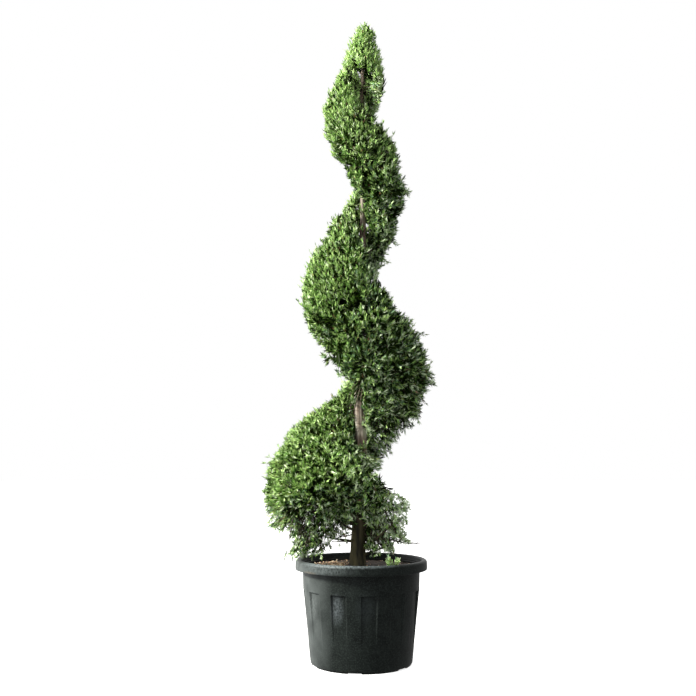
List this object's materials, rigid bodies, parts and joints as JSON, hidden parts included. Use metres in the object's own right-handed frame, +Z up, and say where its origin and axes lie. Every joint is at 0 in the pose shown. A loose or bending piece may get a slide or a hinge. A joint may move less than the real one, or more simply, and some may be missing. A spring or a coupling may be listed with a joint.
{
  "type": "spiral topiary conifer in a plastic nursery pot",
  "caption": "Evergreen conifer clipped to a spiral band round a bare stem, growing in a round black plastic nursery pot with sunk side panels and a rolled rim.",
  "frame": {"origin": "centre of the pot's flat underside, on the surface that it stands on", "axes": "+Z up along the pot's axis and the trunk, -Y towards the front, +X to the right seen from the front"},
  "size_m": [0.5851, 0.5272, 2.291],
  "materials": {
    "pot_plastic": "dark green-grey moulded plastic, slightly dusty, satin at the rim",
    "potting_mix": "dark brown moist potting mix with tan gravel on top",
    "bark": "fluted stringy conifer bark, grey-brown with pinkish patches",
    "foliage": "fine clipped scale-leaf sprays, yellow-green at the tips and dark green inside"
  },
  "bodies": {
    "root": {"pot": "pot_plastic", "potting_mix": "potting_mix", "trunk": "bark", "bough_low_left": "bark", "bough_left_front": "bark", "bough_low_right": "bark", "bough_right_front": "bark", "foliage_tip": "foliage", "foliage_turn1_right": "foliage", "foliage_turn1_back": "foliage", "foliage_turn1_left": "foliage", "foliage_turn1_front": "foliage", "foliage_turn2_right": "foliage", "foliage_turn2_back": "foliage", "foliage_turn2_left": "foliage", "foliage_turn2_front": "foliage", "foliage_turn3_right": "foliage", "foliage_turn3_back": "foliage", "foliage_turn3_left": "foliage", "foliage_turn3_front": "foliage", "foliage_turn4_right": "foliage"}
  },
  "joints": []
}
